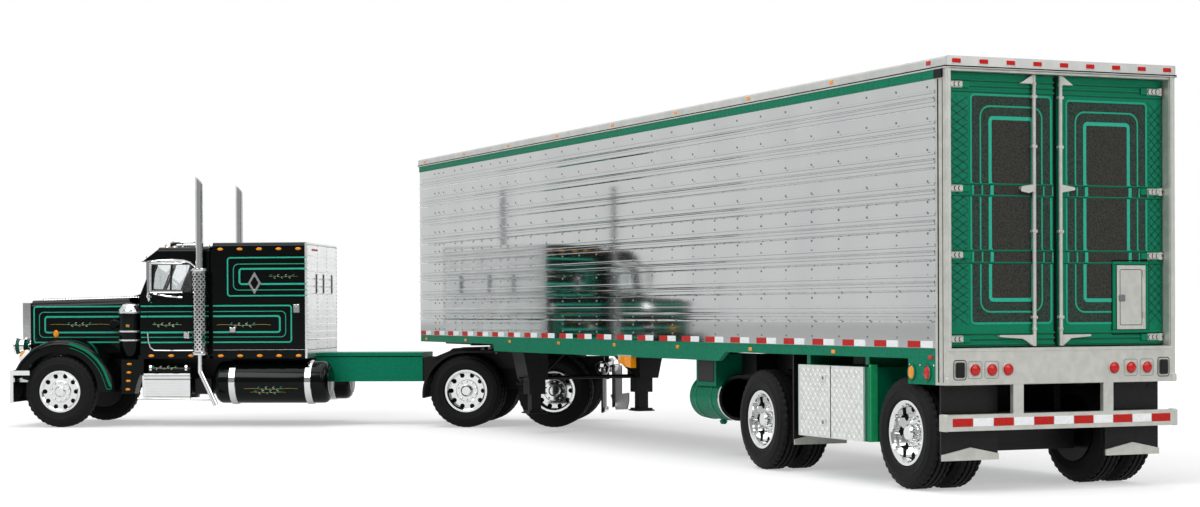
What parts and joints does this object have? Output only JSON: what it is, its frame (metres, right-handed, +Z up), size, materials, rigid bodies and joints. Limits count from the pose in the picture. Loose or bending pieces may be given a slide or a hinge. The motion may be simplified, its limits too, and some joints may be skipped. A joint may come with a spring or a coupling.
{
  "type": "1:64 scale model of an articulated highway truck with a box trailer",
  "caption": "Die-cast model of a long-hood sleeper tractor in dark green with teal stripes, coupled at an angle to a polished spread-axle box trailer.",
  "frame": {"origin": "on the ground below the middle of the whole model's box, in the turned pose of the picture", "axes": "+X forward along the trailer, +Y to the trailer's left, +Z up; the tractor stands turned to the left about the kingpin"},
  "size_m": [0.2986, 0.143, 0.064],
  "materials": {
    "dark_paint": "gloss",
    "green_paint": "gloss metallic",
    "chrome": "polished",
    "panel_silver": "polished",
    "frame_silver": "satin",
    "black_plastic": "matte",
    "tyre_rubber": "matte",
    "lamp_red": "gloss",
    "interior": "matte",
    "clear_pane": "clear"
  },
  "bodies": {
    "trailer": {"trailer_side_left": "panel_silver", "trailer_side_right": "panel_silver", "trailer_front_wall": "panel_silver", "trailer_roof": "frame_silver", "trailer_floor": "black_plastic", "bottom_rails": "green_paint", "rear_frame": "frame_silver", "upper_coupler": "black_plastic", "trailer_lamps": "lamp_red", "underride_bumper": "frame_silver", "trailer_mud_flaps": "black_plastic", "trailer_flap_weights": "chrome", "tool_boxes": "green_paint", "tool_box_doors": "chrome", "trailer_tank": "green_paint", "landing_gear": "black_plastic", "trailer_subframe": "black_plastic"},
    "door_left": {"rear_door_left": "green_paint", "lock_rod_left": "chrome"},
    "door_right": {"rear_door_right": "green_paint", "lock_rod_right": "chrome"},
    "trailer_rear_axle": {"trailer_rear_axle_tyres": "tyre_rubber", "trailer_rear_axle_wheels": "chrome"},
    "trailer_front_axle": {"trailer_front_axle_tyres": "tyre_rubber", "trailer_front_axle_wheels": "chrome"},
    "fifth_wheel": {"fifth_wheel": "black_plastic"},
    "tractor": {"frame_rails": "black_plastic", "frame_covers": "green_paint", "drive_axle_tubes": "black_plastic", "steer_axle_beam": "black_plastic", "fuel_tanks": "dark_paint", "fuel_tank_straps": "chrome", "step_boxes": "chrome", "step_air_tanks": "dark_paint", "sleeper_shell": "dark_paint", "sleeper_rear_panel": "chrome", "cab_shell": "dark_paint", "cab_windows": "clear_pane", "hood": "dark_paint", "grille": "chrome", "front_bumper": "chrome", "front_fenders": "dark_paint", "headlamps": "chrome", "air_cleaners": "dark_paint", "exhaust_stacks": "chrome", "mirrors": "chrome", "visor": "dark_paint", "roof_horns": "chrome", "cab_interior": "interior", "engine_block": "black_plastic", "half_fenders": "black_plastic", "tail_bar": "chrome", "tractor_mud_flaps": "black_plastic"},
    "drive_front_axle": {"drive_front_axle_tyres": "tyre_rubber", "drive_front_axle_wheels": "chrome"},
    "drive_rear_axle": {"drive_rear_axle_tyres": "tyre_rubber", "drive_rear_axle_wheels": "chrome"},
    "steer_axle": {"steer_axle_tyres": "tyre_rubber", "steer_axle_wheels": "chrome"}
  },
  "joints": [
    {"name": "kingpin_turn", "type": "hinge", "parent": "trailer", "child": "fifth_wheel", "pos_m": [0.07503, -0.04287, 0.0192], "axis": [0, 0, 1], "range_deg": [-151.5, 28.5]},
    {"name": "fifth_wheel_tilt", "type": "hinge", "parent": "fifth_wheel", "child": "tractor", "pos_m": [0.07503, -0.04287, 0.01685], "axis": [-0.8788, 0.4772, 0], "range_deg": [-3, 3]},
    {"name": "door_left_hinge", "type": "hinge", "parent": "trailer", "child": "door_left", "pos_m": [-0.14707, -0.02397, 0.04185], "axis": [0, 0, -1], "range_deg": [0, 90]},
    {"name": "door_right_hinge", "type": "hinge", "parent": "trailer", "child": "door_right", "pos_m": [-0.14707, -0.06177, 0.04185], "axis": [0, 0, 1], "range_deg": [0, 90]},
    {"name": "trailer_rear_axle_roll", "type": "hinge", "parent": "trailer", "child": "trailer_rear_axle", "pos_m": [-0.13627, -0.04287, 0.0085], "axis": [0, 1, 0], "continuous": true},
    {"name": "trailer_front_axle_roll", "type": "hinge", "parent": "trailer", "child": "trailer_front_axle", "pos_m": [-0.08897, -0.04287, 0.0085], "axis": [0, 1, 0], "continuous": true},
    {"name": "drive_front_axle_roll", "type": "hinge", "parent": "tractor", "child": "drive_front_axle", "pos_m": [0.07994, -0.03381, 0.0085], "axis": [-0.8788, 0.4772, 0], "continuous": true},
    {"name": "drive_rear_axle_roll", "type": "hinge", "parent": "tractor", "child": "drive_rear_axle", "pos_m": [0.07011, -0.05192, 0.0085], "axis": [-0.8788, 0.4772, 0], "continuous": true},
    {"name": "steer_axle_roll", "type": "hinge", "parent": "tractor", "child": "steer_axle", "pos_m": [0.12637, 0.05169, 0.0085], "axis": [-0.8788, 0.4772, 0], "continuous": true}
  ]
}
